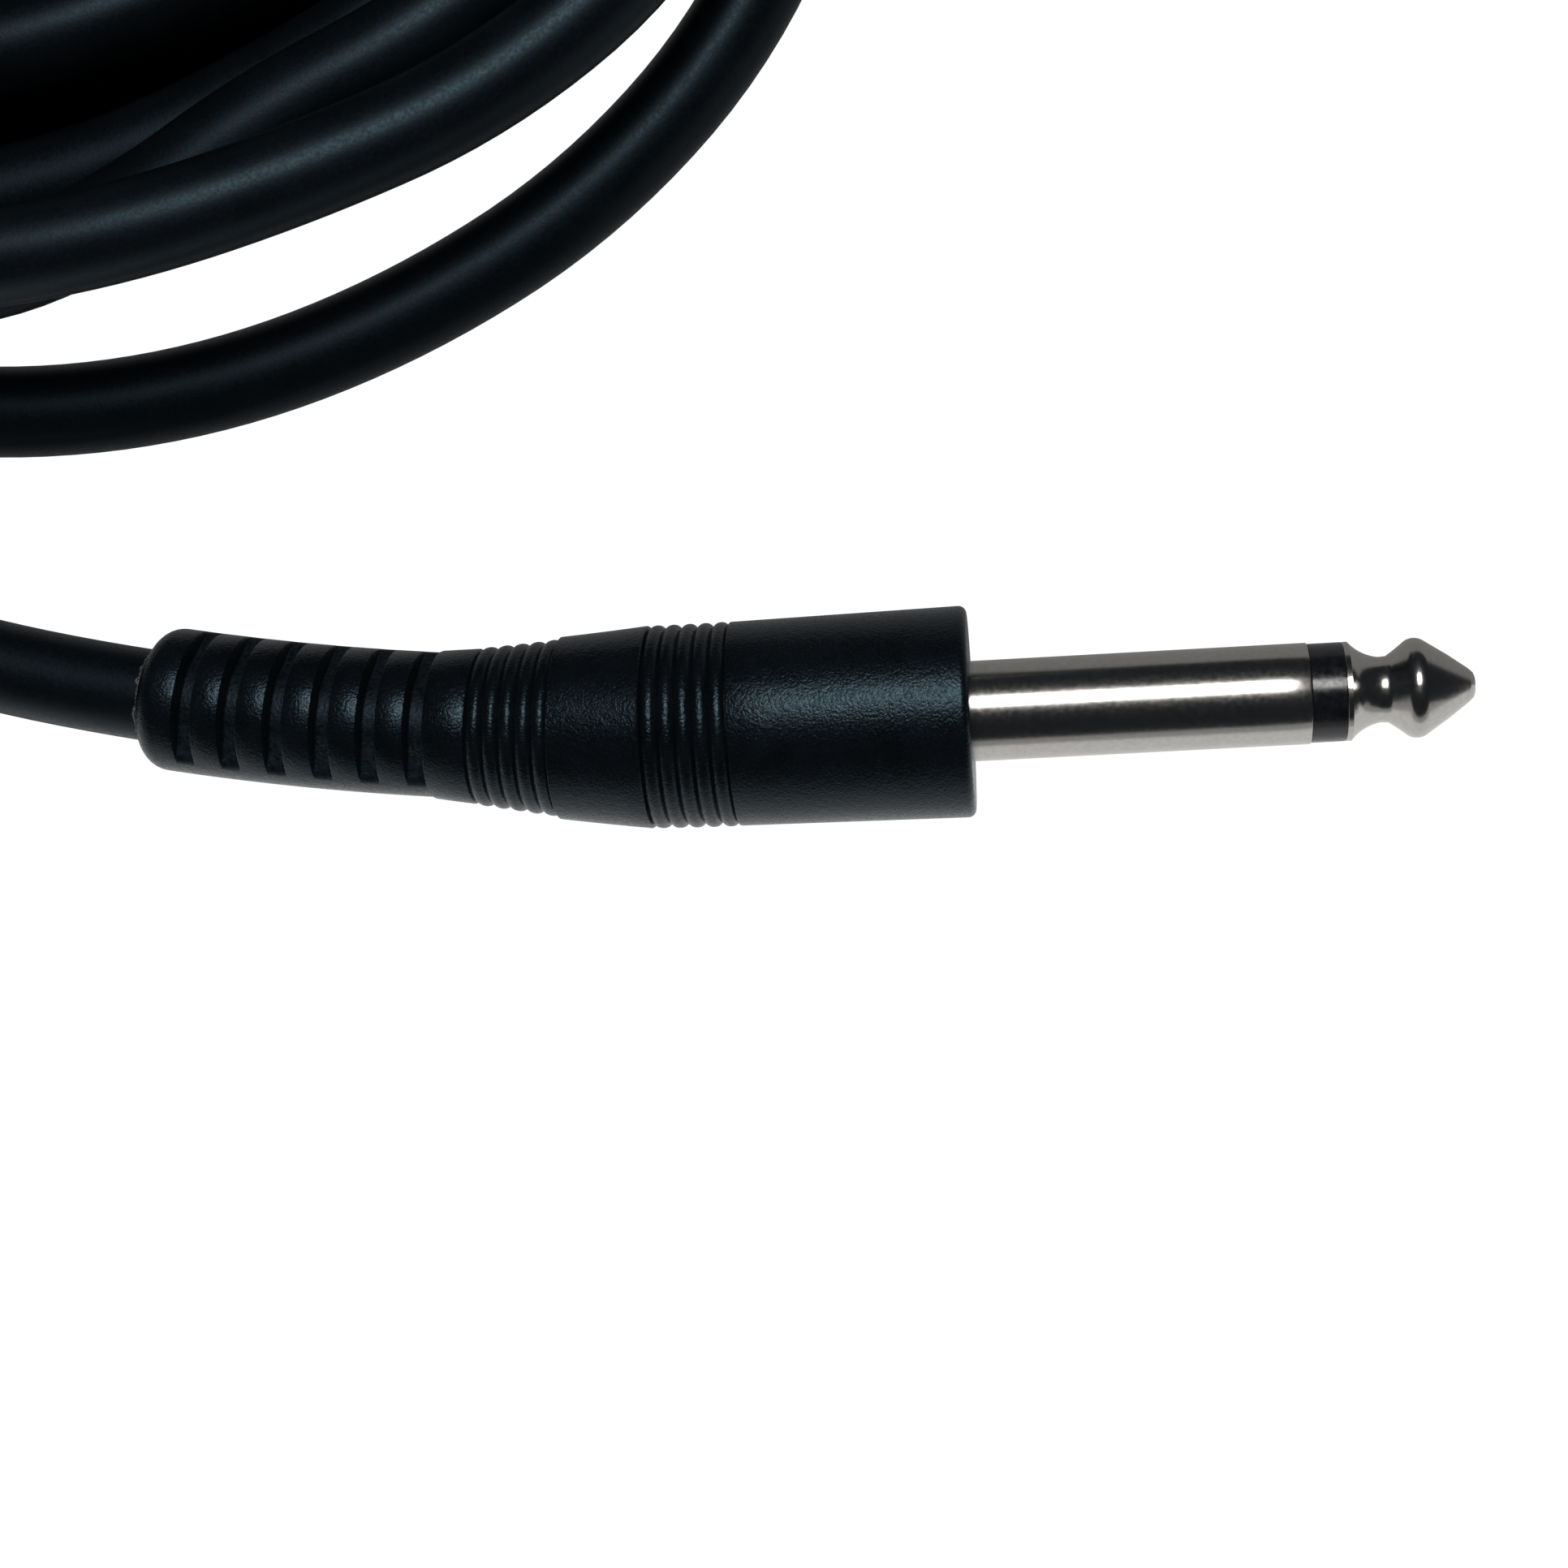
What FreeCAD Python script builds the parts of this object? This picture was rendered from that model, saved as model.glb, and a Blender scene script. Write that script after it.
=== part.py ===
import FreeCAD, Part

# Instrument cable: a 3 m mono lead with a moulded 6.35 mm jack plug at each end, lying in a loose coil.
# Millimetres, +Z up. Plug A lies on the surface with its pin along +X; the origin is at the bottom
# centre of its own box. Each plug is drawn in its own frame first: pin along +X, front face of the
# moulding at x = 0, axis at y = z = 0. Distances s run back from the rear of the barrel along the boot.
import math
import os
from FreeCAD import Placement, Rotation, Vector

# --- contact pin, a standard 6.35 mm mono jack ---
PIN_R = 3.175
SLEEVE_END = 21.05
RING_END = 23.2
RING_R = 3.1
RING_TAPER = 0.02  # the ring and the tip's collar narrow a little, so that they never bind in a jack
PIN_LENGTH = 31.3
TIP_BALL_R = 3.12
TIP_NECK_R = 2.05
NECK_FROM_END = 5.9
BALL_FROM_END = 3.6
NOSE_R = 0.95
ROD_R = 1.1
BORE_R = 2.0
SPIGOT_LENGTH = 3.0
SLEEVE_REAR = 4.0
WAIST_R = 2.9  # groove in the sleeve that the moulding's front grips
FLANGE_R = 4.6
FLANGE_FRONT = 1.2
FLANGE_THICK = 1.4

# --- terminals behind the sleeve ---
LUG_THICK = 0.4
GROUND_LUG_R = 3.9
WASHER_THICK = 1.0
TIP_LUG_R = 2.6
RIVET_R = 1.7
RIVET_THICK = 0.6
TAB_WIDTH = 2.4
TAB_LENGTH = 3.6
ARM_WIDTH = 3.4
CLAMP_WIDTH = 3.0

# --- cable, from the middle outwards ---
CONDUCTOR_R = 0.5
CORE_R = 1.45
SCREEN_COAT_R = 1.75
SHIELD_R = 2.1
CABLE_R = 3.0
CORE_STRIP = 9.5
COAT_STRIP = 11.0
SHIELD_STRIP = 12.2
JACKET_STRIP = 13.0
SOLDER_R = 1.3
PIGTAIL_R = (0.4, 0.35)

# --- mouldings ---
BARREL_LENGTH = 15.0
BARREL_FRONT_R = 6.68
BARREL_REAR_R = 6.48
BARREL_FILLET = 0.5
INNER_MOULD_R = 5.0
RIB_COUNT = 5
RIB_PITCH = 1.05
RIB_PROFILE = [(0.0, 0.27), (0.2, 0.08), (0.42, 0.0), (0.58, 0.0), (0.8, 0.08)]
FRONT_RIBS_R = (6.5, 6.45)
CONE_LENGTH = 5.9
CONE_R = (6.45, 5.82)
REAR_RIBS_R = (5.68, 5.03)
COLLAR_LENGTH = 2.75
COLLAR_R = (4.98, 4.74)
BOOT_R = 4.65
BOOT_CORE_R = 3.27
SLOT_COUNT = 6
SLOT_PITCH = 3.0
SLOT_WIDTH = 1.2
SLOT_FLOOR_HALF = 2.12
SLOT_FLOOR_HEIGHT = 2.49
SPINE_HALF = 1.25
SLOT_ROLL = 17.0
SEAM_TURN = 90.0
END_CAP_LENGTH = 2.9
END_CAP_FILLET = 1.6
BEND_RADIUS = 169.0
BEND_ROLL = -27.0

# --- coil and leads: the cord's chosen points, in the row's frame ---
COIL_CENTRE = Vector(-48.5, 73.0, 0.0)
COIL_HALF = (58.5, 55.0)
COIL_HOLE_CENTRE = Vector(-50.0, 80.0, 0.0)
COIL_HOLE_R = 21.0
COIL_HEIGHT = 19.0
COIL_RIM_HEIGHT = 7.0
COIL_SHOULDER = 5.0
TIE_BEARING = -5.0
TIE_WIDTH = 12.0
TIE_THICK = 1.0
PLUG_B_FRONT = (-13.0, 104.0)
PLUG_B_GAP = 0.3
EXIT_RUN = 9.0
LEAD_A_POINTS = [(-62.3, 8.9, 3.05), (-74.8, 15.6, 3.0), (-85.9, 25.0, 3.0), (-94.7, 36.8, 3.0),
                 (-100.9, 50.4, 3.0)]
LEAD_B_POINTS = [(-85.3, 93.0, 22.6), (-93.6, 84.2, 21.4), (-99.0, 72.0, 20.0)]

RIBS_LENGTH = RIB_COUNT * RIB_PITCH
CONE_START = RIBS_LENGTH
REAR_RIBS_START = CONE_START + CONE_LENGTH
COLLAR_START = REAR_RIBS_START + RIBS_LENGTH
BOOT_START = COLLAR_START + COLLAR_LENGTH
FIRST_SLOT = BOOT_START + SLOT_WIDTH / 2
BOOT_END = FIRST_SLOT + (SLOT_COUNT - 1) * SLOT_PITCH + SLOT_WIDTH / 2 + END_CAP_LENGTH
LUG_REAR = SLEEVE_REAR + LUG_THICK
WASHER_REAR = LUG_REAR + WASHER_THICK
TIP_LUG_REAR = WASHER_REAR + LUG_THICK
RIVET_REAR = TIP_LUG_REAR + RIVET_THICK
INNER_MOULD_FRONT = FLANGE_FRONT + FLANGE_THICK
INNER_MOULD_REAR = JACKET_STRIP + CLAMP_WIDTH - 1.2
ALONG = Vector(1, 0, 0)
BACK = Vector(-1, 0, 0)


def turned(points):
    """A solid of revolution about the X axis from (x, radius) points, closed along the axis."""
    ends = [Vector(points[0][0], 0, 0)] + [Vector(x, r, 0) for x, r in points]
    ends += [Vector(points[-1][0], 0, 0), Vector(points[0][0], 0, 0)]
    return Part.Face(Part.makePolygon(ends)).revolve(Vector(), ALONG, 360)


def tube(x0, x1, outer, inner=0.0):
    """A straight cylinder or tube on the X axis from x0 to x1."""
    solid = Part.makeCylinder(outer, x1 - x0, Vector(x0, 0, 0), ALONG)
    return solid.cut(Part.makeCylinder(inner, x1 - x0, Vector(x0, 0, 0), ALONG)) if inner else solid


def bend_axis(side):
    """The line that the boot curls round, and the direction from the barrel towards it."""
    tilt = math.radians(BEND_ROLL)
    toward = Vector(0, side * math.cos(tilt), math.sin(tilt))
    return Vector(-BARREL_LENGTH, 0, 0) + toward * BEND_RADIUS, toward


def station(s, side):
    """The frame at distance s along the bent boot: its local X points back along the cable."""
    pivot, toward = bend_axis(side)
    axle = BACK.cross(toward)
    spin = Rotation(axle, math.degrees(s / BEND_RADIUS))
    level = Rotation(Vector(0, 0, 1), 180)
    start = Vector(-BARREL_LENGTH, 0, 0)
    return Placement(pivot + spin.multVec(start - pivot), spin.multiply(level))


def section(s, side, radius):
    """The circle of the boot's section at s, which starts in the middle of a spine."""
    circle = Part.Circle(Vector(), ALONG, radius).toShape()
    circle.rotate(Vector(), ALONG, side * SLOT_ROLL + SEAM_TURN)
    return Part.Wire([circle.transformed(station(s, side).toMatrix())])


def bent_rod(s0, s1, side, radius):
    """A round rod that follows the boot's bend from s0 to s1."""
    pivot, toward = bend_axis(side)
    face = Part.Face(section(s0, side, radius))
    return face.revolve(pivot, BACK.cross(toward), math.degrees((s1 - s0) / BEND_RADIUS))


def cable_layer(strip, side, outer, inner=0.0):
    """One layer of the cable inside the plug, from where it is stripped to the end of the boot."""
    layer = tube(-BARREL_LENGTH, -strip, outer).fuse(bent_rod(0, BOOT_END, side, outer))
    if inner:
        layer = layer.cut(tube(-BARREL_LENGTH, -strip, inner)).cut(bent_rod(0, BOOT_END, side, inner))
    return layer.removeSplitter()


def on_boot(shape, start, length, side):
    """Puts a short straight shape, drawn from x = 0 to its length, on the boot's bend at start."""
    back = Placement(Vector(-length / 2, 0, 0), Rotation())
    shape.Placement = station(start + length / 2, side).multiply(back)
    return shape


def taper(start, length, radii, side):
    """A plain tapering length of the moulding."""
    return on_boot(turned([(0, radii[0]), (length, radii[1])]), start, length, side)


def ribs(start, radii, side):
    """A group of rounded grip ribs with sharp grooves between them."""
    points = []
    for i in range(RIB_COUNT):
        for share, drop in RIB_PROFILE:
            at = i + share
            crest = radii[0] + (radii[1] - radii[0]) * at / RIB_COUNT
            points.append((at * RIB_PITCH, crest - drop))
    points.append((RIBS_LENGTH, radii[1] - RIB_PROFILE[0][1]))
    return on_boot(turned(points), start, RIBS_LENGTH, side)


def slot_pockets(s, side):
    """The two opposed pockets at one station, which leave a spine at each side of the boot."""
    reach = BOOT_R + 1
    slope = (SLOT_FLOOR_HEIGHT - SPINE_HALF) / (BOOT_R - SLOT_FLOOR_HALF)
    low = SPINE_HALF - slope * (reach - BOOT_R)
    pockets = []
    for up in (1, -1):
        outline = [(-reach, low), (-SLOT_FLOOR_HALF, SLOT_FLOOR_HEIGHT), (SLOT_FLOOR_HALF, SLOT_FLOOR_HEIGHT),
                   (reach, low), (reach, reach), (-reach, reach), (-reach, low)]
        face = Part.Face(Part.makePolygon([Vector(-SLOT_WIDTH / 2, a, up * b) for a, b in outline]))
        pocket = face.extrude(Vector(SLOT_WIDTH, 0, 0))
        roll = Rotation(ALONG, side * SLOT_ROLL)
        pocket.Placement = station(s, side).multiply(Placement(Vector(), roll))
        pockets.append(pocket)
    return pockets


def end_cap(side):
    """The boot's rounded end, a short straight piece that starts on the bent rod's end face."""
    flat = BOOT_R - END_CAP_FILLET
    round_off = END_CAP_FILLET * math.sin(math.pi / 4)
    start, rim, face = Vector(), Vector(0, BOOT_R, 0), Vector(END_CAP_FILLET, flat, 0)
    edges = [Part.LineSegment(start, rim), Part.Arc(rim, Vector(round_off, flat + round_off, 0), face),
             Part.LineSegment(face, Vector(END_CAP_FILLET, 0, 0)),
             Part.LineSegment(Vector(END_CAP_FILLET, 0, 0), start)]
    cap = Part.Face(Part.Wire([e.toShape() for e in edges])).revolve(Vector(), ALONG, 360)
    cap.Placement = station(BOOT_END - END_CAP_FILLET, side)
    return cap


def slotted_boot(side):
    """The flexible tail: a bent rod with slots cut down to a core, rounded at its end."""
    rod = bent_rod(BOOT_START - 0.2, BOOT_END - END_CAP_FILLET, side, BOOT_R)
    for i in range(SLOT_COUNT):
        for pocket in slot_pockets(FIRST_SLOT + i * SLOT_PITCH, side):
            rod = rod.cut(pocket)
    return rod.fuse([bent_rod(BOOT_START, BOOT_END - END_CAP_FILLET, side, BOOT_CORE_R), end_cap(side)])


def overmould(side):
    """The outside of the moulding: barrel, grip ribs, cone, collar and slotted boot in one piece."""
    barrel = turned([(-BARREL_LENGTH, BARREL_REAR_R), (0, BARREL_FRONT_R)])
    rim = [e for e in barrel.Edges if abs(e.CenterOfMass.x) < 0.01 and e.Length > 2 * BARREL_FRONT_R]
    barrel = barrel.makeFillet(BARREL_FILLET, rim[:1])
    spine = bent_rod(-0.01, BOOT_START + 0.1, side, BOOT_R - 0.1)
    rest = [spine, ribs(0, FRONT_RIBS_R, side), taper(CONE_START, CONE_LENGTH, CONE_R, side),
            ribs(REAR_RIBS_START, REAR_RIBS_R, side),
            taper(COLLAR_START, COLLAR_LENGTH, COLLAR_R, side), slotted_boot(side)]
    return barrel.fuse(rest)


def tip_contact():
    """The tip with its cone, ball and neck, and the rod that carries it back to the terminals."""
    cone_end = PIN_LENGTH - 0.25
    neck = PIN_LENGTH - NECK_FROM_END
    ball = PIN_LENGTH - BALL_FROM_END
    start, collar = Vector(RING_END, 0, 0), Vector(RING_END, RING_R, 0)
    chamfer = Vector(RING_END + 0.35, RING_R - RING_TAPER, 0)
    cove = Part.Arc(chamfer, Vector(neck - 0.75, TIP_NECK_R + 0.22, 0), Vector(neck, TIP_NECK_R, 0))
    waist = Vector(neck + 0.5, TIP_NECK_R + 0.03, 0)
    flare = Vector(ball - 0.62, TIP_BALL_R - 0.17, 0)
    crown = Vector(ball + 0.45, TIP_BALL_R - 0.13, 0)
    edges = [Part.LineSegment(start, collar), Part.LineSegment(collar, chamfer), cove,
             Part.LineSegment(Vector(neck, TIP_NECK_R, 0), waist),
             Part.Arc(waist, Vector(ball - 1.2, TIP_BALL_R - 0.62, 0), flare),
             Part.Arc(flare, Vector(ball, TIP_BALL_R, 0), crown),
             Part.LineSegment(crown, Vector(cone_end, NOSE_R, 0)),
             Part.LineSegment(Vector(cone_end, NOSE_R, 0), Vector(PIN_LENGTH, NOSE_R * 0.6, 0)),
             Part.LineSegment(Vector(PIN_LENGTH, NOSE_R * 0.6, 0), Vector(PIN_LENGTH, 0, 0)),
             Part.LineSegment(Vector(PIN_LENGTH, 0, 0), start)]
    head = Part.Face(Part.Wire([e.toShape() for e in edges])).revolve(Vector(), ALONG, 360)
    rod = tube(-RIVET_REAR, RING_END, ROD_R)
    return head.fuse(rod).fuse(tube(-RIVET_REAR, -TIP_LUG_REAR, RIVET_R)).removeSplitter()


def terminals():
    """The two lugs: the tip's solder tab, and the sleeve's arm with its cable clamp."""
    tab_top = ROD_R + LUG_THICK
    tip_ring = tube(-TIP_LUG_REAR, -WASHER_REAR, TIP_LUG_R, ROD_R)
    tab = Part.makeBox(TAB_LENGTH, TAB_WIDTH, LUG_THICK,
                       Vector(-WASHER_REAR - TAB_LENGTH, -TAB_WIDTH / 2, RIVET_R + 0.05))
    arm_z = -CABLE_R - LUG_THICK
    clamp_start = -JACKET_STRIP - CLAMP_WIDTH + 0.6
    arm = Part.makeBox(-LUG_REAR - clamp_start + LUG_THICK, ARM_WIDTH, LUG_THICK,
                       Vector(clamp_start, -ARM_WIDTH / 2, arm_z))
    band = tube(clamp_start, -JACKET_STRIP + 0.2, CABLE_R + LUG_THICK, CABLE_R)
    band = band.cut(Part.makeBox(CLAMP_WIDTH + 1, 2 * tab_top, CABLE_R + 1,
                                 Vector(clamp_start - 0.5, -tab_top, 1.0)))
    ground = tube(-LUG_REAR, -SLEEVE_REAR, GROUND_LUG_R, BORE_R).fuse(arm).fuse(band)
    return tip_ring.fuse(tab).removeSplitter(), ground.removeSplitter()


def make_plug(side):
    """Every piece of one plug in its own frame, by name. side is 1 where the boot curls to +Y."""
    sleeve = tube(-SLEEVE_REAR, -FLANGE_FRONT, PIN_R, BORE_R)
    sleeve = sleeve.fuse([tube(-INNER_MOULD_FRONT, -FLANGE_FRONT, FLANGE_R, BORE_R),
                          tube(-FLANGE_FRONT, 0, WAIST_R, BORE_R), tube(0, SLEEVE_END, PIN_R, BORE_R)])
    sleeve = sleeve.removeSplitter()
    ring = turned([(SLEEVE_END, RING_R + RING_TAPER), (RING_END, RING_R)])
    ring = ring.cut(tube(SLEEVE_END - 1, RING_END + 1, ROD_R))
    ring = ring.fuse(tube(SLEEVE_END - SPIGOT_LENGTH, SLEEVE_END, BORE_R, ROD_R)).removeSplitter()
    tip_lug, ground_lug = terminals()
    tab_z = RIVET_R + 0.05 + LUG_THICK / 2
    tip_joint = Vector(-WASHER_REAR - TAB_LENGTH + 1.0, 0, 0.75 * tab_z)
    ground_joint = Vector(-COAT_STRIP + 3.2, 0, -CABLE_R + 0.4)
    conductor = cable_layer(CORE_STRIP - 2.0, side, CONDUCTOR_R)
    core = cable_layer(CORE_STRIP, side, CORE_R, CONDUCTOR_R)
    coat = cable_layer(COAT_STRIP, side, SCREEN_COAT_R, CORE_R)
    shield = cable_layer(SHIELD_STRIP, side, SHIELD_R, SCREEN_COAT_R)
    jacket = cable_layer(JACKET_STRIP, side, CABLE_R, SHIELD_R)
    start = Vector(-SHIELD_STRIP - 0.3, 0, -SHIELD_R - PIGTAIL_R[0] + 0.1)
    pigtail = Part.makeCone(PIGTAIL_R[0], PIGTAIL_R[1], (ground_joint - start).Length, start,
                            ground_joint - start)
    pieces = {"sleeve": sleeve, "tip_contact": tip_contact(), "front_insulator": ring,
              "inner_tube": tube(-LUG_REAR, SLEEVE_END - SPIGOT_LENGTH, BORE_R, ROD_R),
              "rear_washer": tube(-WASHER_REAR, -LUG_REAR, GROUND_LUG_R, ROD_R),
              "tip_lug": tip_lug, "ground_lug": ground_lug, "cable_jacket": jacket,
              "cable_shield": shield, "cable_coat": coat, "cable_core": core,
              "cable_conductor": conductor}
    taken = pieces["ground_lug"].fuse(jacket).fuse(shield)
    pieces["shield_pigtail"] = pigtail.cut(taken)
    taken = taken.fuse(pieces["shield_pigtail"]).fuse(core).fuse(coat)
    under = Part.makeBox(4 * SOLDER_R, 4 * SOLDER_R, 2 * SOLDER_R,
                         ground_joint - Vector(2 * SOLDER_R, 2 * SOLDER_R, 2 * SOLDER_R + 0.4))
    pieces["ground_solder"] = Part.makeSphere(SOLDER_R, ground_joint).cut(taken.fuse(under))
    taken = tip_lug.fuse(conductor).fuse(core).fuse(pieces["tip_contact"])
    pieces["tip_solder"] = Part.makeSphere(SOLDER_R, tip_joint).cut(taken)
    inside = [p for name, p in pieces.items() if name != "front_insulator"]
    block = tube(-INNER_MOULD_REAR, -INNER_MOULD_FRONT, INNER_MOULD_R)
    pieces["inner_mould"] = block.cut(inside)
    flange = tube(-INNER_MOULD_FRONT, -FLANGE_FRONT, FLANGE_R)
    body = overmould(side).cut(cable_layer(INNER_MOULD_FRONT, side, CABLE_R))
    for filling in (block, flange, tube(-FLANGE_FRONT, 0, WAIST_R)):
        body = body.cut(filling)
    pieces["body"] = body
    return pieces


def rounded_path(points):
    """Straight runs joined by tangent arcs, each as large as its two runs allow. Prints the radii."""
    edges, here, radii = [], points[0], []
    for before, at, after in zip(points, points[1:], points[2:]):
        a, b = before - at, after - at
        cut = 0.45 * min(a.Length, b.Length)
        half_turn = (math.pi - a.getAngle(b)) / 2
        radius = cut / math.tan(half_turn)
        radii.append(round(radius, 1))
        a.normalize()
        b.normalize()
        inward = a + b
        inward.normalize()
        middle = at + inward * (radius / math.cos(half_turn) - radius)
        edges.append(Part.LineSegment(here, at + a * cut).toShape())
        edges.append(Part.Arc(at + a * cut, middle, at + b * cut).toShape())
        here = at + b * cut
    edges.append(Part.LineSegment(here, points[-1]).toShape())
    print("arc radii", radii)
    return Part.Wire(edges)


def cord_tube(points):
    """A plain round cord along the rounded path."""
    path = rounded_path(points)
    ends = points[1] - points[0]
    profile = Part.Wire([Part.Circle(points[0], ends, CABLE_R).toShape()])
    shape = path.makePipeShell([profile], True, True)
    share = shape.Volume / (math.pi * CABLE_R ** 2 * path.Length)
    print("cord length", round(path.Length, 1), "volume share", round(share, 4), shape.isValid())
    return shape


def coil_shape(skin, bottom):
    """The coil's outer shape, thick at its bundle and low at its rim, swollen by skin."""
    def disc(inset, z0, z1):
        ellipse = Part.Ellipse(COIL_CENTRE + Vector(0, 0, z0), COIL_HALF[0] - inset, COIL_HALF[1] - inset)
        return Part.Face(Part.Wire([ellipse.toShape()])).extrude(Vector(0, 0, z1 - z0))

    rim = disc(-skin, bottom, COIL_RIM_HEIGHT + skin)
    bundle = disc(COIL_SHOULDER - skin, COIL_RIM_HEIGHT, COIL_HEIGHT + skin)
    hole = Part.makeCylinder(COIL_HOLE_R - skin, 2 * COIL_HEIGHT, COIL_HOLE_CENTRE)
    return rim.fuse(bundle).cut(hole)


def coil_and_tie():
    """The coil as one solid, and the strap round its bundle, which passes under it too."""
    reach = COIL_HALF[0] + COIL_HOLE_R
    slab = Part.makeBox(reach, TIE_WIDTH, 2 * COIL_HEIGHT, Vector(0, -TIE_WIDTH / 2, 0))
    slab.Placement = Placement(COIL_HOLE_CENTRE, Rotation(Vector(0, 0, 1), TIE_BEARING))
    tie = coil_shape(TIE_THICK, 0).cut(coil_shape(0, TIE_THICK)).common(slab)
    return coil_shape(0, 0).cut(tie), tie


def main():
    os.makedirs("parts", exist_ok=True)
    plug_a = make_plug(1)
    box = Part.makeCompound(list(plug_a.values())).optimalBoundingBox(False)
    to_row = Placement(Vector(-box.Center.x, -box.Center.y, -box.ZMin), Rotation())
    rest_b = Vector(PLUG_B_FRONT[0], PLUG_B_FRONT[1], COIL_HEIGHT - box.ZMin + PLUG_B_GAP)
    nodes = {}
    for name, piece in plug_a.items():
        nodes["plug_a_" + name] = piece.transformed(to_row.toMatrix())
    for name, piece in make_plug(-1).items():
        nodes["plug_b_" + name] = piece.transformed(Placement(rest_b, Rotation()).toMatrix())
    leads = [("cord_lead_a", to_row, 1, LEAD_A_POINTS),
             ("cord_lead_b", Placement(rest_b, Rotation()), -1, LEAD_B_POINTS)]
    for name, place, side, points in leads:
        end = place.multiply(station(BOOT_END, side))
        start = end.Base
        straight = start + end.Rotation.multVec(ALONG) * EXIT_RUN
        print(name, "leaves at", start, "first point", straight)
        nodes[name] = cord_tube([start, straight] + [Vector(*p) for p in points])
    nodes["cord_coil"], nodes["cord_tie"] = coil_and_tie()
    for name, shape in nodes.items():
        print(f"{name:26s} volume {shape.Volume:10.1f} solids {len(shape.Solids)} valid {shape.isValid()}")
        shape.exportStep(f"parts/{name}.step")
    print("plug A box", box, "shift", to_row.Base)


main()
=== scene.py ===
"""A moulded instrument cable: two jack plugs joined by a round cable that lies in a tied hank.

Every length in the panel is in metres. Radii in the shape tables below are in millimetres.
"""
import math

import bmesh
import bpy
from bpy.props import FloatProperty, FloatVectorProperty, IntProperty, PointerProperty
from mathutils import Matrix, Vector, noise


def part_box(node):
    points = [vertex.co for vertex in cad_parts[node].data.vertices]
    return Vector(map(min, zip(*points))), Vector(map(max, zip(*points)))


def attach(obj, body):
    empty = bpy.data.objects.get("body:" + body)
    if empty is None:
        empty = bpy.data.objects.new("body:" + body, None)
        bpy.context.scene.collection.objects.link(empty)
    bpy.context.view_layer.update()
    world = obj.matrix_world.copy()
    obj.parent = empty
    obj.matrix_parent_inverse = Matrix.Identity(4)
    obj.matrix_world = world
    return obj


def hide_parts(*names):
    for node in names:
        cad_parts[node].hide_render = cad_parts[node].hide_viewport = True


bl_info = {
    "name": "Instrument Cable",
    "version": (1, 0, 0),
    "blender": (4, 2, 0),
    "location": "View3D > Sidebar > Instrument Cable",
    "description": "Builds a moulded instrument cable with two jack plugs and a tied hank",
    "category": "Object",
}

MM = 0.001
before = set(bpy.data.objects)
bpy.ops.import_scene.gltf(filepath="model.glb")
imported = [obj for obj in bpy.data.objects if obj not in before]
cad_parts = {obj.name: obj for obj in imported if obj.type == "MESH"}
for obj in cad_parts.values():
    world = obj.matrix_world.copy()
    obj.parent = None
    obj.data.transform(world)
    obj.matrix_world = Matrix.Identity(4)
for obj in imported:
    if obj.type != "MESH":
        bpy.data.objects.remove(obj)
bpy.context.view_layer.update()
CURL = {"a": 1, "b": -1}
BEND_RADIUS = 169.0
BEND_ROLL = math.radians(-27)
SLOT_ROLL = math.radians(17)
BARREL_LENGTH = 15.0
RIB_PITCH = 1.05
SLOTS = [19.75 + 3.0 * i for i in range(6)]
BOOT_END = 38.25
LEAD_A = [(-50.535, 4.916, 3.8), (-62.3, 8.9, 3.05), (-74.8, 15.6, 3.0), (-85.9, 25.0, 3.0),
          (-94.7, 36.8, 3.0), (-100.9, 50.4, 3.0)]
LEAD_B = [(-99.0, 72.0, 20.0), (-93.6, 84.2, 21.4), (-85.3, 93.0, 22.6), (-74.695, 98.36, 23.1)]
COIL_CENTRE = (-50.0, 72.0)
STATIONS = (180, 120, 60, 0, -30, -60, -90, -135)
TURNS = [
    (54.0, 53.5, 53.2, 56.6, 55.9, 51.7, 49.8, 49.3),
    (48.0, 47.5, 47.0, 47.5, 41.5, 34.3, 32.7, 38.5),
    (42.0, 41.5, 41.0, 41.5, 35.3, 28.3, 26.8, 32.3),
    (36.0, 35.5, 35.0, 35.5, 29.5, 23.0, 22.0, 26.6),
    (30.5, 30.0, 29.8, 30.0, 26.8, 23.3, 23.2, 28.5),
    (33.0, 32.7, 32.5, 35.0, 33.0, 29.2, 29.0, 34.6),
    (39.0, 38.5, 38.5, 42.0, 40.3, 36.0, 36.6, 41.3),
    (45.0, 44.5, 44.5, 48.3, 45.2, 38.9, 43.0, 42.4),
    (50.5, 50.5, 50.5, 53.5, 51.3, 44.3, 42.8, 44.5),
]
LAST_RADIUS = 48.5
ROUTE_STEP = 15
CURVE_PULL = 1.004
CABLE_RADIUS = 3.0
STRAP_BEARING = 8.0
REST = 5.95
FLASH_OUTLINE = [(-0.05, 3.02), (-0.05, 3.32), (0.05, 3.33), (0.12, 3.27), (0.2, 3.15), (0.27, 3.07), (0.2, 3.02)]
FLASH_SIDES = 144
LAMP_DISTANCE = 0.62
LAMP_LEAN = math.radians(19)
CAMERA_OFFSET = (0.003995, -0.004798)
FLOOR_RADIUS = 1.6
WALL_RADIUS = 0.7
WALL_START = math.radians(-165)
WALL_SWEEP = math.radians(140)
WHITE = 1.03


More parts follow.
